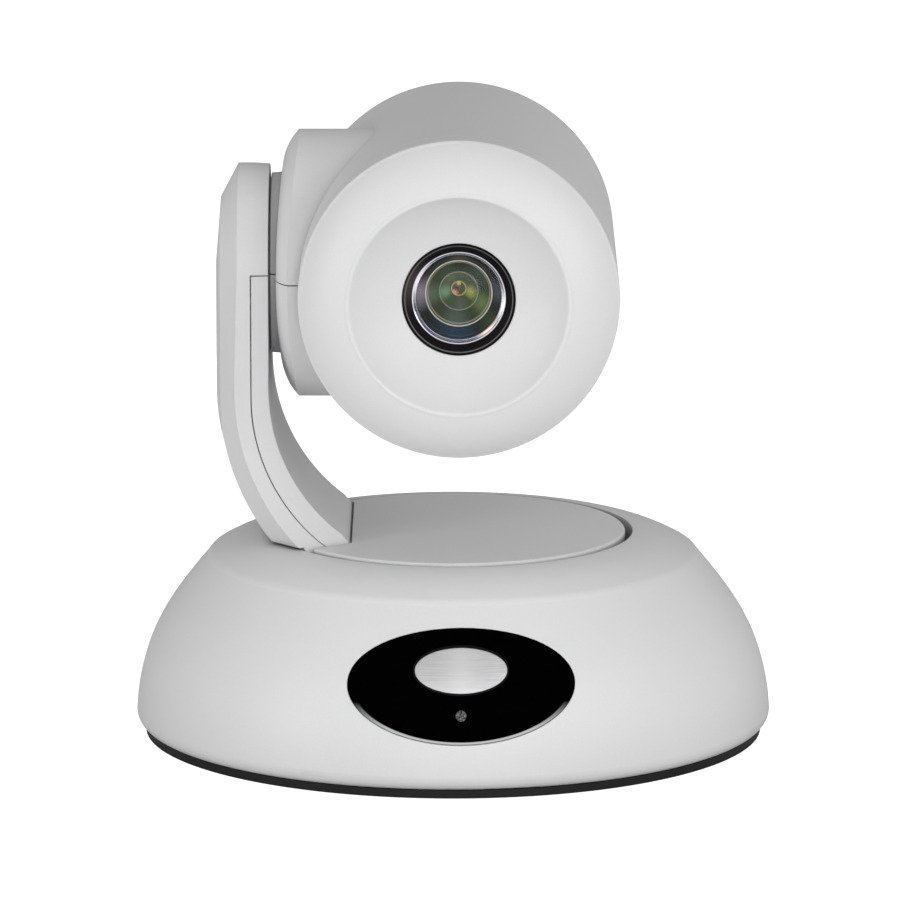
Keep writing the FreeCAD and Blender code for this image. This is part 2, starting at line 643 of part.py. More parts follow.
def make_tilt_gear():
    module, teeth, _ = TILT_GEAR
    wheel = gear(module, teeth, 1.6, TILT_BORE + 1.5)
    return lay_along_x(wheel, TILT_GEAR_X, TILT_Y, TILT_Z)


def make_turntable_disc():
    edge = 1.0
    low = DISC_TOP - DISC_T
    steps = [("line", V(DISC_R, 0, low)), ("line", V(DISC_R, 0, DISC_TOP - edge)),
             ("arc", V(DISC_R - 0.29 * edge, 0, DISC_TOP - 0.29 * edge), V(DISC_R - edge, 0, DISC_TOP)),
             ("line", V(0, 0, DISC_TOP))]
    disc = about_pan(steps, V(0, 0, low))
    notch = Part.Face(arm_section(low, -0.15)).extrude(V(0, 0, 2 * DISC_T))
    notch.translate(V(0, 0, -0.5 * DISC_T))
    return max(disc.cut(notch).Solids, key=lambda piece: piece.Volume)


def make_pan_hub():
    flange_top = TRAY_TOP - TRAY_T
    hub = fuse([cyl(HUB_R, (0, 0, 38), flange_top - 38), cyl(25.0, (0, 0, flange_top - 2.4), 2.4)])
    cuts = [cyl(HUB_BORE, (0, 0, 30), 40)]
    cuts += [cyl(1.25, (x, y, 50), 14) for x, y in spaced(4, 20.0, 45)]
    return cut_all(hub, cuts)


def make_pan_gear():
    module, teeth, _ = PAN_GEAR
    wheel = gear(module, teeth, 3.2, HUB_R, math.pi / 2)
    wheel.translate(V(0, 0, PAN_GEAR_Z))
    return cut_all(wheel, [cyl(6.0, (x, y, 50), 10) for x, y in spaced(6, 24.0)])


def make_arm_screws():
    heads = [screw(2.6, 0.2, 1.25, 4.0, (x, y, TRAY_TOP + 0.2), (0, 0, -1)) for x, y in spaced(4, 20.0, 45)]
    return group(heads)


def make_arm_cable():
    """Flat ribbon from the pan hub's bore, up inside the arm and into the tilt shaft's bore."""
    near, far, thick = -9.5, -5.5, 0.6
    floor = TRAY_TOP - 1.5
    offset = 10.0
    top = TILT_Z + 2.0
    strip = arm_sheet(offset, thick, (far - near) / 2.0, floor, top)
    strip.translate(V(0, (near + far) / 2.0 - TILT_Y, 0))
    foot_x = arm_inner(67.0) - offset - thick
    run = box((foot_x, near, floor), (-2.4, far, floor + thick))
    end = box((-6.4, near, floor), (-2.4, -2.5, floor + thick))
    drop = box((-3, -6.5, 40), (-2.4, -2.5, floor + thick))
    top_x = ARM_IN - offset - thick
    bridge = box((top_x, near, top - 4), (top_x + thick, TILT_Y + 2, top))
    plug = box((top_x, TILT_Y - 2, top - 2.6), (TILT_PLATE_X - 2.1, TILT_Y + 2, top - 2))
    return fuse([strip, run, end, drop, bridge, plug])


# ---- head ---------------------------------------------------------------------------
def pod_loop(radius, x, lean):
    """Closed curve round the tilt axis that moves towards the lens above and below the axis."""
    points = []
    for i in range(24):
        turn = math.pi * i / 12.0
        up = radius * math.sin(turn)
        points.append(V(x + lean * up * up, TILT_Y + radius * math.cos(turn), TILT_Z + up))
    curve = Part.BSplineCurve()
    curve.interpolate(Points=points, PeriodicFlag=True)
    return Part.Wire([curve.toShape()])


def pod_solid():
    """Drum about the tilt axis: round rim, crease, and a bowed side that faces the arm."""
    rims = [(56.0, -30.0, 0.0), (46.0, -46.8, POD_LEAN), (42.0, -51.3, POD_LEAN),
            (38.7, -53.4, POD_LEAN), (35.7, -54.5, POD_LEAN), (31.7, -55.1, POD_LEAN),
            (22.0, -55.4, POD_LEAN), (10.0, -55.5, 0.0)]
    bowed = Part.makeLoft([pod_loop(r, x, lean) for r, x, lean in rims], True, False)
    end = bowed.common(cyl(POD_R, (-60, TILT_Y, TILT_Z), 30, X))
    return fuse([end, cyl(POD_R, (-30.5, TILT_Y, TILT_Z), 30.5, X)])


def pod_space():
    """Hollow of the pod, up to the wall behind the recess for the arm's collar."""
    r = POD_R - POD_WALL
    end = RECESS_FLOOR + POD_WALL
    start = V(0, TILT_Y, TILT_Z)
    steps = [("line", start + V(0, 0, r)), ("line", start + V(-43.6, 0, r)),
             ("line", start + V(end, 0, r - 6.5)), ("line", start + V(end, 0, 0))]
    return outline(start, steps).revolve(start, X, 360)


def barrel_ring(outer, front, back):
    return cyl(outer, (0, front, TILT_Z), back - front, Y)


def in_line(shape):
    """Moves a piece that was drawn about the pan axis onto the optical axis."""
    moved = shape.copy()
    moved.translate(V(LENS_X, 0, 0))
    return moved


def make_head_shells():
    edge = 3.0
    back = BARREL_BACK
    steps = [("line", V(BARREL_R - 0.3, BARREL_FRONT, TILT_Z)),
             ("line", V(BARREL_R, BARREL_FRONT + 0.3, TILT_Z)), ("line", V(BARREL_R, back - edge, TILT_Z)),
             ("arc", V(BARREL_R - 0.29 * edge, back - 0.29 * edge, TILT_Z), V(BARREL_R - edge, back, TILT_Z)),
             ("line", V(0, back, TILT_Z))]
    barrel = outline(V(0, BARREL_FRONT, TILT_Z), steps).revolve(V(0, 0, TILT_Z), Y, 360)
    inner_r = BARREL_R - BARREL_WALL
    outer = in_line(barrel).fuse(pod_solid()).removeSplitter()
    recess = cyl(NECK_R + NECK_GAP, (-60, TILT_Y, TILT_Z), RECESS_FLOOR + 60, X)
    cuts = [in_line(barrel_ring(inner_r, BARREL_FRONT - 1, back - 2.4)),
            in_line(barrel_ring(44.0, 0, back + 1)),
            pod_space(), recess, cyl(15.5, (-60, TILT_Y, TILT_Z), 20, X)]
    shell = cut_all(outer, cuts)
    split = HEAD_SEAM / 2.0
    above = box((-90, -90, TILT_Z + split), (90, 90, TILT_Z + 90))
    below = box((-90, -90, TILT_Z - 90), (90, 90, TILT_Z - split))
    return shell.common(above), shell.common(below)


def make_front_bezel():
    """Front ring: rounded outer slope, thin crest, and a dish that runs in to the lens."""
    def at(r, y):
        return V(r, y, TILT_Z)
    steps = [("line", at(BARREL_R, BARREL_FRONT - 0.5)), ("line", at(BARREL_R, -57.3)),
             ("arc", at(BARREL_R - 0.2, -58.1), at(BARREL_R - 0.8, -58.7)),
             ("arc", at(42.8, -64.6), at(34.9, -68.6)),
             ("arc", at(34.0, -68.9), at(33.2, -68.4)),
             ("arc", at(26.3, -61.9), at(LENS_R + 0.2, -57.4)),
             ("line", at(LENS_R + 0.2, -54.6)), ("line", at(20.0, -54.6)),
             ("arc", at(27.4, -59.0), at(33.6, -65.2)),
             ("arc", at(40.8, -62.2), at(46.9, -57.8)),
             ("line", at(45.4, BARREL_FRONT - 2.0)), ("line", at(45.4, BARREL_FRONT + 3.5)),
             ("line", at(47.1, BARREL_FRONT + 3.5)), ("line", at(47.1, BARREL_FRONT - 0.2)),
             ("line", at(BARREL_R - 0.3, BARREL_FRONT - 0.2))]
    start = at(BARREL_R - 0.3, BARREL_FRONT - 0.2)
    return outline(start, steps[:-1]).revolve(V(0, 0, TILT_Z), Y, 360)


def make_rear_cap():
    back = BARREL_BACK
    cap = fuse([barrel_ring(43.9, back - 3.8, back - 0.6), barrel_ring(46.8, back - 4.4, back - 2.5)])
    cap = cap.cut(barrel_ring(42.0, back - 8, back - 2.4))
    slots = []
    for i in range(9):
        z = TILT_Z - 16.0 + 4.0 * i
        slots.append(box((-14, back - 6, z - 0.9), (14, back + 2, z + 0.9)))
    return cut_all(cap, slots)


HEAD_PLATE_X = -31.0


def make_head_frame():
    z = TILT_Z
    side = box((HEAD_PLATE_X, -20, z - 24), (HEAD_PLATE_X + 1.6, 38, z + 24))
    floor = box((HEAD_PLATE_X, -20, z - CASE_Z - 1.7), (24, 38, z - CASE_Z - 0.1))
    web = box((HEAD_PLATE_X, -20, z - CASE_Z - 1.7), (HEAD_PLATE_X + 1.6, 38, z))
    stops = [cyl(3.0, (x, 30, z - CASE_Z - 12), 10.6) for x in (-14, 14)]
    frame = fuse([side, floor, web] + stops)
    holes = [cyl(TILT_BORE, (-40, TILT_Y, z), 20, X)]
    holes += [cyl(1.5, (-40, TILT_Y + y, z + h), 20, X) for y, h in spaced(4, 16.0, 45)]
    return cut_all(frame, holes)


def make_tilt_hub():
    flange = cyl(20.0, (HEAD_PLATE_X - 2.0, TILT_Y, TILT_Z), 2.0, X)
    shaft_x = TILT_PLATE_X - 0.4
    shaft = cyl(TILT_HUB_R, (shaft_x, TILT_Y, TILT_Z), HEAD_PLATE_X - 1 - shaft_x, X)
    nose = cyl(TILT_BORE + 1.5, (shaft_x - 3.2, TILT_Y, TILT_Z), 5, X)
    hub = fuse([flange, shaft, nose])
    cuts = [cyl(TILT_BORE, (-70, TILT_Y, TILT_Z), 60, X)]
    cuts += [cyl(1.25, (-40, TILT_Y + y, TILT_Z + h), 20, X) for y, h in spaced(4, 16.0, 45)]
    return cut_all(hub, cuts)


def make_module_case():
    z = TILT_Z
    case = box((-CASE_X, CASE_FRONT, z - CASE_Z), (CASE_X, CASE_BACK, z + CASE_Z))
    inner = box((-CASE_X + CASE_WALL, CASE_FRONT + CASE_WALL, z - CASE_Z + CASE_WALL),
                (CASE_X - CASE_WALL, CASE_BACK + 1, z + CASE_Z - CASE_WALL))
    return cut_all(case, [inner, cyl(15.0, (0, CASE_FRONT - 2, z), 6, Y)])


def make_lens_barrel():
    points = [(14.4, -53.4), (16.9, -53.4), (16.9, CASE_FRONT - 2.0), (20.0, CASE_FRONT - 2.0),
              (20.0, CASE_FRONT), (14.4, CASE_FRONT)]
    return ring_y(points)


def make_lens_trim():
    """Dark ring around the front glass, sloping in towards it."""
    return ring_y([(LENS_R, -57.2), (17.0, -57.6), (14.5, -54.8), (14.5, -53.5), (LENS_R, -53.5)])


def make_silver_ring():
    return ring_y([(14.4, -54.9), (13.7, -54.6), (13.7, -52.95), (13.2, -52.95), (13.2, -51.6), (14.4, -51.6)])


def make_front_lens():
    """Strongly curved front glass: convex outside, hollow behind."""
    crown, back, radius = -57.0, -54.2, 13.6
    outer_curve, inner_curve = 28.9, 36.0
    disc = cyl(radius, (0, crown - 1, TILT_Z), 6.2, Y)
    outer = Part.makeSphere(outer_curve, V(0, crown + outer_curve, TILT_Z))
    inner = Part.makeSphere(inner_curve, V(0, back + inner_curve, TILT_Z))
    return disc.common(outer).cut(inner).cut(tube(radius + 1, 13.1, (0, -53.0, TILT_Z), 3, Y))


def make_lens_baffles():
    """Stepped rings behind the front glass."""
    rings = [(14.3, 12.6, -51.4, 2.4), (14.3, 10.2, -48.8, 2.4), (14.3, 8.0, -46.2, 2.2),
             (14.3, 6.0, -43.8, 2.4)]
    return group([tube(o, i, (0, y, TILT_Z), length, Y) for o, i, y, length in rings])


def lens_carrier(y, length, nut_side):
    """Lens cell that slides on the two rods, with a nut for its lead screw."""
    z = TILT_Z
    cell = cyl(13.0, (0, y, z), length, Y)
    wings = box((-ROD_X - 3, y, z - 3), (ROD_X + 3, y + length, z + 3))
    nut = box((nut_side * SCREW_X - 3, y, z + SCREW_Z - 3), (nut_side * SCREW_X + 3, y + length, z - 8))
    body = fuse([cell, wings, nut])
    holes = [cyl(ROD_R + RUN, (side * ROD_X, y - 1, z), length + 2, Y) for side in (-1, 1)]
    holes.append(cyl(10.0, (0, y - 1, z), length + 2, Y))
    holes.append(cyl(SCREW_R + RUN, (nut_side * SCREW_X, y - 1, z + SCREW_Z), length + 2, Y))
    clear = -nut_side * SCREW_X
    holes.append(cyl(SCREW_R + 1.0, (clear, y - 1, z + SCREW_Z), length + 2, Y))
    return cut_all(body, holes)


def carrier_lens(y, length, radius):
    """Glass with two curved faces that fills the carrier's bore."""
    middle = y + length / 2.0
    front = Part.makeSphere(radius, V(0, middle - radius + length / 2.0 + 1.0, TILT_Z))
    back = Part.makeSphere(radius, V(0, middle + radius - length / 2.0 - 1.0, TILT_Z))
    return cyl(10.0, (0, y - 2, TILT_Z), length + 4, Y).common(front).common(back)


def make_guide_rods():
    length = CASE_BACK - 4 - CASE_FRONT - CASE_WALL
    return group([cyl(ROD_R, (side * ROD_X, CASE_FRONT + CASE_WALL, TILT_Z), length, Y)
                  for side in (-1, 1)])


def make_lead_screw(side):
    start = CASE_FRONT + CASE_WALL + 9.0
    return cyl(SCREW_R, (side * SCREW_X, start, TILT_Z + SCREW_Z), CASE_BACK - 5 - start, Y)


def make_lens_motors():
    motors = []
    for side in (-1, 1):
        at = (side * SCREW_X, CASE_FRONT + CASE_WALL, TILT_Z + SCREW_Z)
        can = cyl(4.2, at, 8.8, Y)
        inner = (side * SCREW_X, CASE_FRONT + CASE_WALL + 8.8, TILT_Z + SCREW_Z)
        motors.append(can.fuse(tube(2.4, SCREW_R + RUN, inner, 1.2, Y)).removeSplitter())
    return group(motors)


def make_sensor_board():
    z = TILT_Z
    back = CASE_BACK - 4
    board = box((-CASE_X + 2, back, z - CASE_Z + 2), (CASE_X - 2, back + 1.4, z + CASE_Z - 2))
    chips = [box((-8, back + 1.4, z - 8), (8, back + 2.8, z + 8)),
             box((12, back + 1.4, z - 12), (20, back + 2.4, z - 2))]
    plug = box((-20, back + 1.4, z - 18), (-10, back + 5.0, z - 12))
    return fuse([board, plug] + chips)


def make_image_sensor():
    back = CASE_BACK - 4
    body = box((-8, back - 2, TILT_Z - 7), (8, back, TILT_Z + 7))
    return body.cut(box((-6, back - 3, TILT_Z - 4.5), (6, back - 1.5, TILT_Z + 4.5)))


def make_head_cable():
    """Ribbon from the tilt shaft's bore round the back of the zoom block."""
    z = TILT_Z
    run = box((-62, TILT_Y - 3, z - 0.3), (-28.0, TILT_Y + 3, z + 0.3))
    side = box((-28.6, TILT_Y - 3, z - 0.3), (-28.0, 47.4, z + 5.7))
    back = box((-28.6, 46.8, z - 0.3), (-15, 47.4, z + 5.7))
    drop = box((-20, 46.8, z - 18), (-15, 47.4, z + 5.7))
    plug = box((-20, 45.2, z - 18), (-15, 47.0, z - 12))
    return fuse([run, side, back, drop, plug])


def make_head_screws():
    """Screws that hold the tilt shaft's flange to the head frame."""
    return group([screw(2.4, 1.4, 1.25, 3.4, (HEAD_PLATE_X + 3.0, TILT_Y + y, TILT_Z + h), (-1, 0, 0))
                  for y, h in spaced(4, 16.0, 45)])


# ---- all pieces ---------------------------------------------------------------------
def build():
    arm_outer_shell, arm_inner_cover = make_arm_shells()
    head_top, head_bottom = make_head_shells()
    zoom_length, focus_length = 7.0, 6.0
    return {
        "base_shell": make_base_shell(),
        "bottom_plate": make_bottom_plate(),
        "rubber_feet": make_feet(),
        "tripod_insert": make_tripod_insert(),
        "base_frame": make_base_frame(),
        "pan_bearing": make_pan_bearing(),
        "pan_motor": make_pan_motor(),
        "main_board": make_main_board(),
        "board_chips": make_board_chips(),
        "network_jack": phone_style_socket(NET_X),
        "serial_jack": phone_style_socket(SERIAL_X),
        "video_jack": make_hdmi_jack(),
        "usb_jack": make_usb_jack(),
        "power_jack": make_power_jack(),
        "mode_switch": make_mode_switch(),
        "connector_panel": make_connector_panel(),
        "panel_screws": make_panel_screws(),
        "oval_window": make_window(),
        "badge_ring": make_badge_ring(),
        "badge_plate": make_badge_plate(),
        "ir_receiver": make_ir_receiver(),
        "front_board": make_front_board(),
        "base_screws": make_base_screws(),
        "mode_dial": make_mode_dial(),
        "pan_pinion": make_pan_pinion(),
        "turntable_disc": make_turntable_disc(),
        "pan_hub": make_pan_hub(),
        "pan_gear": make_pan_gear(),
        "arm_outer_shell": arm_outer_shell,
        "arm_inner_cover": arm_inner_cover,
        "arm_frame": make_arm_frame(),
        "tilt_bearing": make_tilt_bearing(),
        "tilt_motor": make_tilt_motor(),
        "arm_screws": make_arm_screws(),
        "arm_cable": make_arm_cable(),
        "tilt_pinion": make_tilt_pinion(),
        "head_top_shell": head_top,
        "head_bottom_shell": head_bottom,
        "front_bezel": in_line(make_front_bezel()),
        "rear_cap": in_line(make_rear_cap()),
        "head_frame": make_head_frame(),
        "tilt_hub": make_tilt_hub(),
        "tilt_gear": make_tilt_gear(),
        "head_screws": make_head_screws(),
        "head_cable": make_head_cable(),
        "module_case": in_line(make_module_case()),
        "lens_barrel": in_line(make_lens_barrel()),
        "lens_trim": in_line(make_lens_trim()),
        "silver_ring": in_line(make_silver_ring()),
        "front_lens": in_line(make_front_lens()),
        "lens_baffles": in_line(make_lens_baffles()),
        "guide_rods": in_line(make_guide_rods()),
        "lens_motors": in_line(make_lens_motors()),
        "sensor_board": in_line(make_sensor_board()),
        "image_sensor": in_line(make_image_sensor()),
        "zoom_carrier": in_line(lens_carrier(ZOOM_Y, zoom_length, -1)),
        "zoom_lens": in_line(carrier_lens(ZOOM_Y, zoom_length, 22.0)),
        "focus_carrier": in_line(lens_carrier(FOCUS_Y, focus_length, 1)),
        "zoom_screw": in_line(make_lead_screw(-1)),
        "focus_screw": in_line(make_lead_screw(1)),
    }


os.makedirs("parts", exist_ok=True)
for node, shape in build().items():
    shape.exportStep("parts/" + node + ".step")
    print(node, len(shape.Solids), shape.isValid(), round(shape.Volume))
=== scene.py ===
import bmesh
import bpy
import json
import math
from mathutils import Matrix, Vector


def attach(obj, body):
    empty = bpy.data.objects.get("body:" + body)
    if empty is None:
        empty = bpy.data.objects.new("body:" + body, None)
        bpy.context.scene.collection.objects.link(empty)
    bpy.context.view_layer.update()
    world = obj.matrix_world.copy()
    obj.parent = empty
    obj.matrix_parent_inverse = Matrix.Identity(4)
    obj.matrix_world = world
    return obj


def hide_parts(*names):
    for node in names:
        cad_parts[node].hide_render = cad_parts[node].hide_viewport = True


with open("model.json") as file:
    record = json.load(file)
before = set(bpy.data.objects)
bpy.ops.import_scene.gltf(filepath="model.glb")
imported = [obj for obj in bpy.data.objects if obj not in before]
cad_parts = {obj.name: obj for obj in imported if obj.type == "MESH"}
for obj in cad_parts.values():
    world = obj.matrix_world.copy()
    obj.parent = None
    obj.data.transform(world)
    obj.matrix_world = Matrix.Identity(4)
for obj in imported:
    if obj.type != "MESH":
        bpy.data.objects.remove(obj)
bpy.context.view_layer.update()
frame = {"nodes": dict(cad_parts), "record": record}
NODES = frame["nodes"]
SCENE = bpy.context.scene
MM = 0.001

# Camera: distance, height above the table that it turns about, elevation and lens.
CAMERA_DISTANCE = 2.600
CAMERA_AIM_Z = 0.100
CAMERA_ELEVATION = 11.15
CAMERA_SIDE = 0.0029
CAMERA_LENS = 330.67
CAMERA_SHIFT = (-0.01377, -0.03663)

# Optical axis, oval window and badge, in millimetres.
LENS_X, LENS_Z = 1.8, 148.0
WINDOW_X, WINDOW_Z = 2.5, 33.9
WINDOW_HALF_X, WINDOW_HALF_Z = 34.75, 16.45
BADGE_Z = 38.9
BADGE_HALF_Z = 6.0

# Rings in the lens group and on the trim around it, as radii about the optical axis in millimetres.
OUTER_RING_R, MIDDLE_RING_R, INNER_RING_R = 10.2, 5.95, 2.2
TRIM_LINE_R = 16.55
SILVER_LINE_R, SILVER_INNER_LINE_R = 14.2, 13.4

# Reach of the painted shade in broad hollows and in fine seams, in metres.
HOLLOW_REACH, SEAM_REACH = 0.030, 0.003


# ---- node building ------------------------------------------------------------------
class Shader:
    """A material's node tree with short ways to add and join nodes."""

    def __init__(self, name):
        self.material = bpy.data.materials.new(name)
        self.material.use_nodes = True
        self.tree = self.material.node_tree
        self.surface = self.tree.nodes["Principled BSDF"]
        self.output = self.tree.nodes["Material Output"]

    def add(self, kind, **settings):
        node = self.tree.nodes.new("ShaderNode" + kind)
        for key, value in settings.items():
            setattr(node, key, value)
        return node

    def join(self, source, target):
        self.tree.links.new(source, target)

    def put(self, socket, value):
        if isinstance(value, bpy.types.NodeSocket):
            self.join(value, socket)
        elif hasattr(socket.default_value, "__len__") and len(value) == 3:
            socket.default_value = (*value, 1.0) if len(socket.default_value) == 4 else value
        else:
            socket.default_value = value

    def place(self, stretch=(1, 1, 1)):
        """Position on the object in metres, stretched along each axis."""
        mapping = self.add("Mapping")
        mapping.inputs["Scale"].default_value = stretch
        self.join(self.add("TexCoord").outputs["Object"], mapping.inputs["Vector"])
        return mapping.outputs["Vector"]

    def noise(self, scale, detail=3.0, stretch=(1, 1, 1), roughness=0.55):
        node = self.add("TexNoise")
        self.join(self.place(stretch), node.inputs["Vector"])
        node.inputs["Scale"].default_value = scale
        node.inputs["Detail"].default_value = detail
        node.inputs["Roughness"].default_value = roughness
        return node.outputs["Fac"]

    def span(self, value, low, high, from_low=0.0, from_high=1.0):
        node = self.add("MapRange")
        self.put(node.inputs["Value"], value)
        node.inputs["From Min"].default_value = from_low
        node.inputs["From Max"].default_value = from_high
        node.inputs["To Min"].default_value = low
        node.inputs["To Max"].default_value = high
        return node.outputs["Result"]

    def math(self, operation, a, b=0.0):
        node = self.add("Math", operation=operation)
        self.put(node.inputs[0], a)
        self.put(node.inputs[1], b)
        return node.outputs[0]

    def mix(self, share, a, b):
        node = self.add("Mix", data_type="RGBA")
        self.put(node.inputs[0], share)
        self.put(node.inputs[6], a)
        self.put(node.inputs[7], b)
        return node.outputs[2]

    def bump(self, height, depth, normal=None, strength=1.0):
        node = self.add("Bump")
        node.inputs["Distance"].default_value = depth
        node.inputs["Strength"].default_value = strength
        self.put(node.inputs["Height"], height)
        if normal is not None:
            self.join(normal, node.inputs["Normal"])
        return node.outputs["Normal"]

    def soft_edges(self, radius):
        node = self.add("Bevel", samples=2)
        node.inputs["Radius"].default_value = radius
        return node.outputs["Normal"]

    def edge_mask(self, radius, low=0.02, high=0.25):
        """1 on the edges within a radius, 0 on flat stretches."""
        rounded = self.soft_edges(radius)
        plain = self.add("NewGeometry").outputs["Normal"]
        dot = self.add("VectorMath", operation="DOT_PRODUCT")
        self.join(rounded, dot.inputs[0])
        self.join(plain, dot.inputs[1])
        return self.span(self.math("SUBTRACT", 1.0, dot.outputs["Value"]), 0.0, 1.0, low, high)

    def shelter(self, reach):
        """1 in the open, towards 0 where other surfaces stand close within a reach."""
        node = self.add("AmbientOcclusion", samples=2)
        node.inputs["Distance"].default_value = reach
        return node.outputs["AO"]

    def position(self):
        """The three parts of the position on the object, in metres."""
        split = self.add("SeparateXYZ")
        self.join(self.add("TexCoord").outputs["Object"], split.inputs[0])
        return split.outputs

    def length(self, a, b):
        """Length of a flat vector from its two parts."""
        squares = self.math("ADD", self.math("MULTIPLY", a, a), self.math("MULTIPLY", b, b))
        return self.math("SQRT", squares)

    def finish(self, colour, roughness, metal=0.0, normal=None, specular=0.5):
        inputs = self.surface.inputs
        self.put(inputs["Base Color"], colour)
        self.put(inputs["Roughness"], roughness)
        self.put(inputs["Metallic"], metal)
        self.put(inputs["Specular IOR Level"], specular)
        if normal is not None:
            self.join(normal, inputs["Normal"])
        return self.material


# ---- materials ----------------------------------------------------------------------
def shell_plastic():
    """Off-white moulded plastic with a fine spark texture, a painted highlight on its edges, and painted
    shade that darkens it in hollows and seams.
    """
    s = Shader("white_shell")
    grain = s.noise(2600, 4.0, roughness=0.7)
    cloud = s.noise(18, 2.0)
    tone = s.mix(s.span(cloud, 0.0, 1.0, 0.3, 0.7), (0.765, 0.768, 0.776), (0.79, 0.79, 0.795))
    tone = s.mix(s.span(grain, 0.0, 0.55, 0.35, 0.75), tone, (0.86, 0.86, 0.865))
    # painted highlight: colour lightened towards white along the edges
    tone = s.mix(s.span(s.edge_mask(0.0007), 0.0, 0.35), tone, (0.90, 0.90, 0.90))
    # painted shade: colour darkened where other surfaces stand close within the hollow reach
    tone = s.mix(s.span(s.shelter(HOLLOW_REACH), 0.30, 0.0, 0.20, 0.90), tone, (0.26, 0.26, 0.27))
    # painted shade: colour darkened nearly to black in tight seams and gaps
    tone = s.mix(s.span(s.shelter(SEAM_REACH), 0.80, 0.0, 0.10, 0.65), tone, (0.05, 0.05, 0.05))
    rough = s.span(grain, 0.36, 0.52, 0.3, 0.7)
    normal = s.bump(grain, 0.00005, s.soft_edges(0.0005), 0.55)
    return s.finish(tone, rough, normal=normal, specular=0.42)


def powder_coat():
    """Black powder-coated steel with a painted highlight on its edges."""
    s = Shader("black_coat")
    grain = s.noise(1800, 3.0)
    tone = s.mix(grain, (0.006, 0.006, 0.007), (0.014, 0.014, 0.015))
    # painted highlight: colour lightened along the edges
    tone = s.mix(s.span(s.edge_mask(0.0004), 0.0, 0.3), tone, (0.06, 0.06, 0.06))
    return s.finish(tone, s.span(grain, 0.45, 0.6), normal=s.bump(grain, 0.00008), specular=0.22)


def rubber():
    """Matt rubber foot with a fine moulded grain."""
    s = Shader("foot_rubber")
    grain = s.noise(900, 4.0)
    tone = s.mix(grain, (0.018, 0.018, 0.018), (0.045, 0.045, 0.046))
    return s.finish(tone, s.span(grain, 0.7, 0.9), normal=s.bump(grain, 0.0001))


def turned_metal(name, dark, light, rough, stretch=(1, 1, 1)):
    """Machined or rolled metal with fine tool lines and a painted highlight on its edges."""
    s = Shader(name)
    lines = s.noise(700, 4.0, stretch)
    tone = s.mix(lines, dark, light)
    # painted highlight: colour lightened to the light tone along the edges
    tone = s.mix(s.span(s.edge_mask(0.0003), 0.0, 0.5), tone, light)
    return s.finish(tone, s.span(lines, rough, rough + 0.16), metal=1.0, normal=s.bump(lines, 0.00002))


def circuit_board():
    """Green solder mask with tracks and solder dots."""
    s = Shader("circuit_board")
    tracks = s.add("TexBrick")
    s.join(s.place((220, 220, 220)), tracks.inputs["Vector"])
    s.put(tracks.inputs["Color1"], (0.0, 0.0, 0.0))
    s.put(tracks.inputs["Color2"], (0.1, 0.1, 0.1))
    s.put(tracks.inputs["Mortar"], (1.0, 1.0, 1.0))
    tracks.inputs["Mortar Size"].default_value = 0.03
    tone = s.mix(s.noise(60), (0.006, 0.06, 0.028), (0.010, 0.085, 0.038))
    tone = s.mix(s.span(tracks.outputs["Color"], 0.0, 0.6), tone, (0.02, 0.17, 0.07))
    dots = s.add("TexVoronoi")
    s.join(s.place(), dots.inputs["Vector"])
    dots.inputs["Scale"].default_value = 330
    solder = s.span(dots.outputs["Distance"], 1.0, 0.0, 0.12, 0.18)
    tone = s.mix(solder, tone, (0.6, 0.6, 0.58))
    return s.finish(tone, s.span(solder, 0.4, 0.25), metal=s.math("MULTIPLY", solder, 0.9),
                    normal=s.bump(solder, 0.0001))


def moulded(name, dark, light, rough, depth=0.00005, scale=1500, specular=0.4):
    """Plain moulded plastic with a fine grain and a painted highlight on its edges."""
    s = Shader(name)
    grain = s.noise(scale, 3.0)
    tone = s.mix(grain, dark, light)
    # painted highlight: colour brightened along the edges
    tone = s.mix(s.span(s.edge_mask(0.0004), 0.0, 0.3), tone, [min(1.0, c * 1.6 + 0.02) for c in light])
    return s.finish(tone, s.span(grain, rough, rough + 0.15), normal=s.bump(grain, depth),
                    specular=specular)


def window_black():
    """Polished black acrylic with faint wiping marks and a painted highlight line on its lower edge."""
    s = Shader("window_black")
    smear = s.noise(40, 5.0, (1, 1, 3))
    tone = s.mix(smear, (0.0002, 0.0002, 0.0003), (0.0010, 0.0010, 0.0012))
    position = s.position()
    # painted highlight: light line near the oval rim on the lower part, standing in for the lit lower bevel
    level = s.math("DIVIDE", s.math("SUBTRACT", position["X"], WINDOW_X * MM), WINDOW_HALF_X * MM)
    upright = s.math("DIVIDE", s.math("SUBTRACT", position["Z"], WINDOW_Z * MM), WINDOW_HALF_Z * MM)
    near_rim = s.span(s.length(level, upright), 0.0, 1.0, 0.950, 0.965)
    low = s.span(upright, 1.0, 0.0, -0.75, -0.30)
    line = s.math("MULTIPLY", near_rim, low)
    tone = s.mix(s.math("MULTIPLY", line, 0.8), tone, (0.72, 0.72, 0.73))
    facing = s.add("LayerWeight")
    facing.inputs["Blend"].default_value = 0.25
    shine = s.span(facing.outputs["Facing"], 0.0, 0.5, 0.25, 0.9)
    return s.finish(tone, s.span(smear, 0.05, 0.12), normal=s.soft_edges(0.0004), specular=shine)


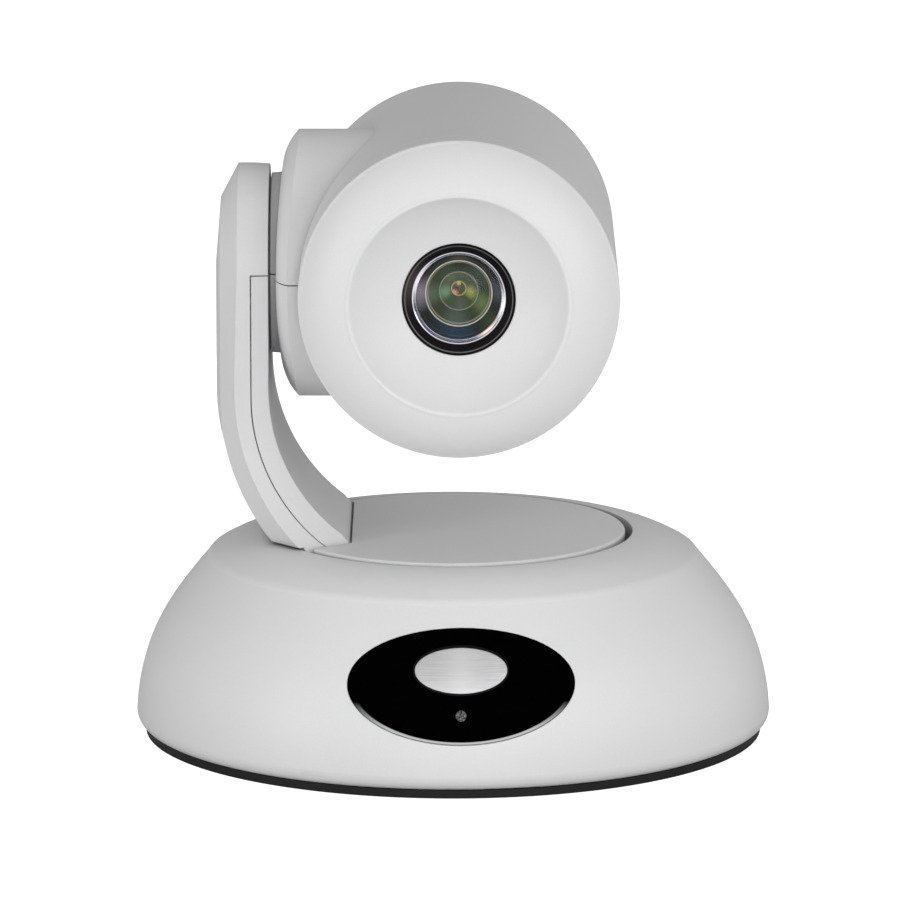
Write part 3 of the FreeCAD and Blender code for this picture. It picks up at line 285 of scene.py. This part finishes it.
def badge_metal():
    """Brushed plate with level grain, a painted sheen strip down its middle and a painted highlight on its
    lower part.
    """
    s = Shader("badge_brushed")
    lines = s.noise(260, 5.0, (0.35, 0.35, 14), 0.7)
    position = s.position()
    aside = s.math("ABSOLUTE", s.math("SUBTRACT", position["X"], WINDOW_X * MM))
    # painted sheen: colour lightened in a soft strip down the middle
    painted_sheen = s.span(aside, 1.0, 0.0, 0.001, 0.008)
    # painted highlight: colour lightened towards the bottom of the plate
    lower = s.span(position["Z"], 0.25, 0.0, (BADGE_Z - BADGE_HALF_Z) * MM, (BADGE_Z + 2.0) * MM)
    tone = s.mix(s.span(lines, 0.0, 1.0, 0.3, 0.7), (0.64, 0.64, 0.65), (0.88, 0.88, 0.89))
    tone = s.mix(s.math("MULTIPLY", painted_sheen, 0.7), tone, (0.93, 0.93, 0.94))
    tone = s.mix(lower, tone, (0.90, 0.90, 0.92))
    return s.finish(tone, s.span(lines, 0.34, 0.5), metal=0.75, normal=s.bump(lines, 0.00003))


def eye_tint():
    """Smoky domed lens of the remote-control receiver."""
    s = Shader("eye_tint")
    cells = s.add("TexVoronoi")
    s.join(s.place(), cells.inputs["Vector"])
    cells.inputs["Scale"].default_value = 1500
    gap = s.span(cells.outputs["Distance"], 0.0, 1.0, 0.15, 0.7)
    tone = s.mix(gap, (0.22, 0.22, 0.22), (0.01, 0.01, 0.01))
    return s.finish(tone, 0.30, normal=s.bump(cells.outputs["Distance"], 0.0001), specular=0.2)


def ribbon_film():
    """Amber film with fine copper tracks."""
    s = Shader("ribbon_film")
    wave = s.add("TexWave")
    s.join(s.place((700, 700, 700)), wave.inputs["Vector"])
    tone = s.mix(wave.outputs["Fac"], (0.30, 0.12, 0.02), (0.58, 0.30, 0.08))
    return s.finish(tone, 0.35, normal=s.bump(wave.outputs["Fac"], 0.00005))


def lens_coating(name, tint, gloss, strength):
    """Thin coated glass: see-through, with a faint tinted reflection that grows at the edge."""
    s = Shader(name)
    clear = s.add("BsdfTransparent")
    shine = s.add("BsdfGlossy")
    s.put(shine.inputs["Color"], tint)
    s.put(shine.inputs["Roughness"], s.span(s.noise(30, 2.0), gloss, gloss + 0.015))
    fresnel = s.add("Fresnel")
    fresnel.inputs["IOR"].default_value = 1.35
    both = s.add("MixShader")
    s.put(both.inputs[0], s.math("MULTIPLY", fresnel.outputs["Fac"], strength))
    s.join(clear.outputs[0], both.inputs[1])
    s.join(shine.outputs[0], both.inputs[2])
    s.join(both.outputs[0], s.output.inputs["Surface"])
    return s.material


def from_axis(s):
    """Distance from the optical axis in millimetres, and the level and upright parts of it."""
    position = s.position()
    level = s.math("SUBTRACT", s.math("DIVIDE", position["X"], MM), LENS_X)
    upright = s.math("SUBTRACT", s.math("DIVIDE", position["Z"], MM), LENS_Z)
    return s.length(level, upright), level, upright


def spot(s, level, upright, x, z, reach):
    """Soft round patch: 1 at a point beside the optical axis, 0 at its reach."""
    away = s.length(s.math("SUBTRACT", level, x), s.math("SUBTRACT", upright, z))
    node = s.add("MapRange", interpolation_type="SMOOTHSTEP")
    s.put(node.inputs["Value"], away)
    node.inputs["From Min"].default_value = 0.0
    node.inputs["From Max"].default_value = reach
    node.inputs["To Min"].default_value = 1.0
    node.inputs["To Max"].default_value = 0.0
    return node.outputs["Result"]


def thin_ring(s, radius, at, half_width):
    """1 on a thin circle about the optical axis, 0 off it."""
    off = s.math("ABSOLUTE", s.math("SUBTRACT", radius, at))
    return s.span(off, 1.0, 0.0, half_width * 0.4, half_width)


def painted_lens_reflections():
    """Coated inner lenses in painted light: painted olive and teal depths, painted violet and navy
    reflections, painted highlights on the metal rims, and a painted glow.
    """
    s = Shader("lens_group")
    radius, level, upright = from_axis(s)

    def patch(tone, colour, x, z, reach, share=1.0):
        return s.mix(s.math("MULTIPLY", spot(s, level, upright, x, z, reach), share), tone, colour)

    # painted reflections: soft coloured patches set around the optical axis
    outer = patch((0.014, 0.015, 0.013), (0.21, 0.185, 0.23), -11.8, 0.6, 7.0)
    outer = patch(outer, (0.026, 0.050, 0.078), -1.0, -12.2, 11.0, 0.95)
    outer = patch(outer, (0.075, 0.090, 0.115), 12.6, 1.0, 5.5, 0.8)
    outer = patch(outer, (0.045, 0.075, 0.028), 9.5, -8.0, 5.0, 0.7)
    outer = patch(outer, (0.070, 0.062, 0.045), 0.0, 12.5, 5.0, 0.6)
    middle = patch((0.040, 0.055, 0.030), (0.110, 0.140, 0.095), -8.6, -0.5, 5.0)
    middle = patch(middle, (0.130, 0.180, 0.065), 7.0, -3.5, 5.0, 0.9)
    middle = patch(middle, (0.085, 0.125, 0.100), -1.0, -9.0, 6.0, 0.9)
    middle = patch(middle, (0.030, 0.030, 0.020), 1.5, 9.5, 5.5, 0.9)
    inner = patch((0.065, 0.085, 0.040), (0.155, 0.300, 0.170), -4.4, -0.7, 3.0)
    inner = patch(inner, (0.330, 0.350, 0.090), 3.7, -0.9, 2.8)
    inner = patch(inner, (0.095, 0.140, 0.105), 0.2, -4.6, 2.8, 0.8)
    inner = patch(inner, (0.075, 0.140, 0.045), -2.5, 3.5, 2.2, 0.9)
    core = patch((0.070, 0.070, 0.022), (0.60, 0.30, 0.22), -1.3, -1.3, 1.7)
    core = patch(core, (0.50, 0.44, 0.18), 0.0, 1.7, 1.1)
    tone = s.mix(s.span(radius, 0.0, 1.0, INNER_RING_R - 0.1, INNER_RING_R + 0.3), core, inner)
    tone = s.mix(s.span(radius, 0.0, 1.0, MIDDLE_RING_R - 0.15, MIDDLE_RING_R - 0.05), tone, middle)
    tone = s.mix(s.span(radius, 0.0, 1.0, OUTER_RING_R - 0.1, OUTER_RING_R + 0.1), tone, outer)
    # painted highlights: thin bright rings on the rims
    rims = [(OUTER_RING_R, 0.24, 0.9, (0.66, 0.64, 0.58)),
            (OUTER_RING_R - 0.65, 0.18, 0.6, (0.46, 0.42, 0.30)),
            (MIDDLE_RING_R, 0.18, 0.8, (0.30, 0.34, 0.27)),
            (INNER_RING_R, 0.24, 0.65, (0.56, 0.46, 0.14))]
    for at, half_width, share, colour in rims:
        tone = s.mix(s.math("MULTIPLY", thin_ring(s, radius, at, half_width), share), tone, colour)
    haze = s.noise(420)
    # painted glow: the lens colours are emitted so they show without light reaching inside
    glow = s.mix(s.span(haze, 0.0, 0.25, 0.35, 0.75), tone, (0.02, 0.03, 0.02))
    s.put(s.surface.inputs["Emission Color"], glow)
    s.put(s.surface.inputs["Emission Strength"], 0.80)
    return s.finish(s.mix(0.75, tone, (0.0, 0.0, 0.0)), 0.35, specular=0.15)


def trim_ring():
    """Black anodised ring with a painted highlight line near its rim and a painted reddish reflection on
    its upper left.
    """
    s = Shader("trim_dark")
    radius, level, upright = from_axis(s)
    grain = s.noise(1500, 3.0)
    tone = s.mix(grain, (0.004, 0.003, 0.003), (0.010, 0.008, 0.008))
    # painted reflection: reddish patch on the upper left
    painted_warm_reflection = s.math("MULTIPLY", spot(s, level, upright, -15.5, 5.0, 11.0), 0.8)
    tone = s.mix(painted_warm_reflection, tone, (0.080, 0.058, 0.054))
    # painted highlight: thin light line near the rim
    line = s.math("MULTIPLY", thin_ring(s, radius, TRIM_LINE_R, 0.20), 0.7)
    tone = s.mix(line, tone, (0.24, 0.24, 0.25))
    return s.finish(tone, s.span(grain, 0.30, 0.42), specular=0.10)


def silver_rim():
    """Polished ring in painted light: painted glints at the upper left and the right, two thin painted
    highlight lines elsewhere, and a painted glow.
    """
    s = Shader("ring_polished")
    radius, level, upright = from_axis(s)
    lines = s.noise(700, 3.0)
    tone = s.mix(lines, (0.05, 0.05, 0.06), (0.09, 0.09, 0.11))
    # painted highlights: bright glints set by position on the ring
    painted_glints = [(-12.5, 5.5, 9.0, 0.9, (0.90, 0.90, 0.94)),
              (14.0, -2.5, 8.0, 0.9, (0.85, 0.84, 0.83)),
              (9.5, -10.5, 6.0, 0.8, (0.66, 0.54, 0.44))]
    for x, z, reach, share, colour in painted_glints:
        tone = s.mix(s.math("MULTIPLY", spot(s, level, upright, x, z, reach), share), tone, colour)
    # painted highlights: two thin light lines on the ring
    rims = [(SILVER_LINE_R, 0.20, 0.95, (0.80, 0.80, 0.86)),
            (SILVER_INNER_LINE_R, 0.12, 0.6, (0.50, 0.50, 0.56))]
    for at, half_width, share, colour in rims:
        tone = s.mix(s.math("MULTIPLY", thin_ring(s, radius, at, half_width), share), tone, colour)
    # painted glow: the ring emits its own colour
    s.put(s.surface.inputs["Emission Color"], tone)
    s.put(s.surface.inputs["Emission Strength"], 0.48)
    return s.finish(tone, 0.16, metal=1.0, normal=s.bump(lines, 0.00001))


MATERIALS = {
    "shell_plastic": shell_plastic(),
    "black_metal": powder_coat(),
    "rubber_pad": rubber(),
    "brass_part": turned_metal("brass_turned", (0.50, 0.33, 0.12), (0.78, 0.58, 0.27), 0.22, (1, 1, 6)),
    "bearing_bronze": turned_metal("bronze_sintered", (0.30, 0.17, 0.07), (0.50, 0.31, 0.15), 0.40),
    "plate_steel": turned_metal("steel_plated", (0.42, 0.42, 0.41), (0.66, 0.66, 0.64), 0.30, (1, 8, 1)),
    "motor_steel": turned_metal("steel_drawn", (0.20, 0.20, 0.21), (0.36, 0.36, 0.37), 0.28, (1, 1, 7)),
    "circuit_board": circuit_board(),
    "chip_black": moulded("chip_epoxy", (0.012, 0.012, 0.013), (0.03, 0.03, 0.031), 0.45),
    "socket_metal": turned_metal("socket_tinned", (0.50, 0.50, 0.51), (0.76, 0.76, 0.77), 0.24, (7, 1, 1)),
    "socket_plastic": moulded("socket_black", (0.012, 0.012, 0.013), (0.03, 0.03, 0.032), 0.42),
    "dial_plastic": moulded("dial_ivory", (0.60, 0.58, 0.52), (0.70, 0.68, 0.63), 0.35),
    "screw_steel": turned_metal("screw_plated", (0.38, 0.38, 0.39), (0.62, 0.62, 0.63), 0.26, (1, 1, 5)),
    "window_black": window_black(),
    "dark_trim": trim_ring(),
    "badge_metal": badge_metal(),
    "sensor_tint": eye_tint(),
    "gear_metal": turned_metal("gear_brass", (0.45, 0.32, 0.13), (0.74, 0.57, 0.28), 0.25, (1, 1, 6)),
    "machined_alloy": turned_metal("alloy_turned", (0.50, 0.50, 0.51), (0.75, 0.75, 0.76), 0.24, (1, 1, 6)),
    "gear_plastic": moulded("gear_acetal", (0.66, 0.65, 0.60), (0.76, 0.75, 0.71), 0.38),
    "ribbon_film": ribbon_film(),
    "black_plastic": moulded("lens_black", (0.004, 0.004, 0.005), (0.012, 0.012, 0.013), 0.5, 0.00002),
    "bright_ring": silver_rim(),
    "lens_glass": lens_coating("glass_coated", (0.75, 0.72, 1.0), 0.02, 0.30),
}


def dress_cad_nodes():
    """Give every CAD node the procedural material of its slot."""
    slots = {part["node"]: part["material_slot"] for part in frame["record"]["subparts"]}
    for name, node in NODES.items():
        for slot in node.material_slots:
            slot.material = MATERIALS[slots[name]]


# ---- pieces made here ---------------------------------------------------------------
def lathe(name, profile, material, segments=128):
    """Closed piece turned about the optical axis from (radius, depth) points in millimetres."""
    shape = bmesh.new()
    rows = []
    for radius, depth in profile:
        if radius == 0.0:
            rows.append([shape.verts.new((LENS_X * MM, depth * MM, LENS_Z * MM))] * segments)
            continue
        row = []
        for i in range(segments):
            turn = 2.0 * math.pi * i / segments
            x = LENS_X + radius * math.cos(turn)
            z = LENS_Z + radius * math.sin(turn)
            row.append(shape.verts.new((x * MM, depth * MM, z * MM)))
        rows.append(row)
    for near, far in zip(rows, rows[1:] + rows[:1]):
        for i in range(segments):
            k = (i + 1) % segments
            corners = []
            for corner in (near[i], near[k], far[k], far[i]):
                if corner not in corners:
                    corners.append(corner)
            if len(corners) > 2:
                shape.faces.new(corners)
    bmesh.ops.recalc_face_normals(shape, faces=shape.faces)
    mesh = bpy.data.meshes.new(name)
    shape.to_mesh(mesh)
    shape.free()
    for face in mesh.polygons:
        face.use_smooth = True
    mesh.materials.append(material)
    piece = bpy.data.objects.new(name, mesh)
    SCENE.collection.objects.link(piece)
    return piece


def bead(radius, depth, size):
    """Small raised ring in a lathe profile, from its outer to its inner foot."""
    shoulder = size * 0.6
    return [(radius + size, depth + size), (radius + shoulder, depth - shoulder), (radius, depth - size),
            (radius - shoulder, depth - shoulder), (radius - size, depth + size)]


def make_lens_interior():
    """Stepped, coated lens group that shows behind the front glass, down to the small rear lens."""
    front = [(13.1, -51.4), (11.9, -49.4), (10.9, -47.2)] + bead(OUTER_RING_R, -46.7, 0.22)
    front += [(9.2, -44.9), (7.6, -43.5), (6.4, -42.6)] + bead(MIDDLE_RING_R, -42.4, 0.14)
    front += [(4.9, -40.4), (3.4, -38.9), (2.6, -38.2)] + bead(INNER_RING_R, -38.0, 0.12)
    front += [(1.4, -38.6), (0.0, -39.0)]
    back = [(0.0, -36.2), (3.6, -37.2), (7.8, -42.0), (10.8, -44.6), (13.1, -49.6)]
    piece = lathe("lens_interior", front + back, painted_lens_reflections())
    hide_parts("lens_baffles")
    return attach(piece, "head")


# ---- stage --------------------------------------------------------------------------
FLOOR_HALF = 12.0
FLOOR_GLOW = 1.0
SKY_LEAN = (0.35, -0.45, 0.15)
SKY_BACK, SKY_FRONT = 0.26, 0.48


def make_floor():
    """Pale level floor that glows white to the camera and only reflects light onto the object."""
    mesh = bpy.data.meshes.new("floor")
    shape = bmesh.new()
    bmesh.ops.create_grid(shape, x_segments=1, y_segments=1, size=FLOOR_HALF)
    shape.to_mesh(mesh)
    shape.free()
    floor = bpy.data.objects.new("floor", mesh)
    SCENE.collection.objects.link(floor)
    s = Shader("floor_paper")
    inputs = s.surface.inputs
    s.put(inputs["Base Color"], s.mix(s.noise(8), (0.79, 0.79, 0.79), (0.81, 0.81, 0.81)))
    s.put(inputs["Roughness"], 0.9)
    s.put(inputs["Specular IOR Level"], 0.0)
    s.put(inputs["Emission Color"], (1.0, 1.0, 1.0))
    from_camera = s.add("LightPath").outputs["Is Camera Ray"]
    s.put(inputs["Emission Strength"], s.math("MULTIPLY", from_camera, FLOOR_GLOW))
    mesh.materials.append(s.material)


def make_sky():
    """White where the camera sees it; its light on the object is stronger from the front right."""
    world = bpy.data.worlds.new("studio")
    SCENE.world = world
    world.use_nodes = True
    tree = world.node_tree
    background = tree.nodes["Background"]
    lean = tree.nodes.new("ShaderNodeVectorMath")
    lean.operation = "DOT_PRODUCT"
    lean.inputs[1].default_value = SKY_LEAN
    tree.links.new(tree.nodes.new("ShaderNodeTexCoord").outputs["Generated"], lean.inputs[0])
    shade = tree.nodes.new("ShaderNodeMapRange")
    shade.inputs["From Min"].default_value = -1.0
    shade.inputs["To Min"].default_value = SKY_BACK
    shade.inputs["To Max"].default_value = SKY_FRONT
    tree.links.new(lean.outputs["Value"], shade.inputs["Value"])
    path = tree.nodes.new("ShaderNodeLightPath")
    strength = tree.nodes.new("ShaderNodeMix")
    tree.links.new(path.outputs["Is Camera Ray"], strength.inputs[0])
    tree.links.new(shade.outputs["Result"], strength.inputs[2])
    strength.inputs[3].default_value = 1.0
    tree.links.new(strength.outputs[0], background.inputs["Strength"])
    background.inputs["Color"].default_value = (1.0, 1.0, 1.0, 1.0)


def softbox(name, place, target, width, height, power):
    light = bpy.data.lights.new(name, "AREA")
    light.shape = "RECTANGLE"
    light.size = width
    light.size_y = height
    light.energy = power
    lamp = bpy.data.objects.new(name, light)
    SCENE.collection.objects.link(lamp)
    lamp.location = place
    lamp.rotation_euler = (Vector(target) - Vector(place)).to_track_quat("-Z", "Y").to_euler()
    return lamp


def make_lights():
    """Three softboxes, 1.5 to 1.8 m away from the middle of the object."""
    middle = (0, 0, CAMERA_AIM_Z)
    softbox("key_front", (0.15, -1.7, 0.34), middle, 1.4, 0.8, 8.8)
    softbox("key_right", (1.15, -0.95, 0.65), middle, 0.6, 0.9, 5.6)
    softbox("fill_left", (-1.25, -0.80, 0.40), middle, 0.6, 0.9, 5.6)


def make_camera():
    data = bpy.data.cameras.new("camera")
    data.lens = CAMERA_LENS
    data.sensor_width = 36.0
    data.shift_x, data.shift_y = CAMERA_SHIFT
    data.clip_start, data.clip_end = 0.1, 50.0
    camera = bpy.data.objects.new("camera", data)
    SCENE.collection.objects.link(camera)
    tilt = math.radians(CAMERA_ELEVATION)
    place = Vector((CAMERA_SIDE, -CAMERA_DISTANCE * math.cos(tilt),
                    CAMERA_AIM_Z + CAMERA_DISTANCE * math.sin(tilt)))
    look = Matrix.Rotation(math.radians(90.0 - CAMERA_ELEVATION), 4, "X")
    camera.matrix_world = Matrix.Translation(place) @ look
    SCENE.camera = camera


def set_colours():
    SCENE.view_settings.view_transform = "Standard"
    SCENE.view_settings.look = "None"


dress_cad_nodes()
make_lens_interior()
make_floor()
make_sky()
make_lights()
make_camera()
set_colours()
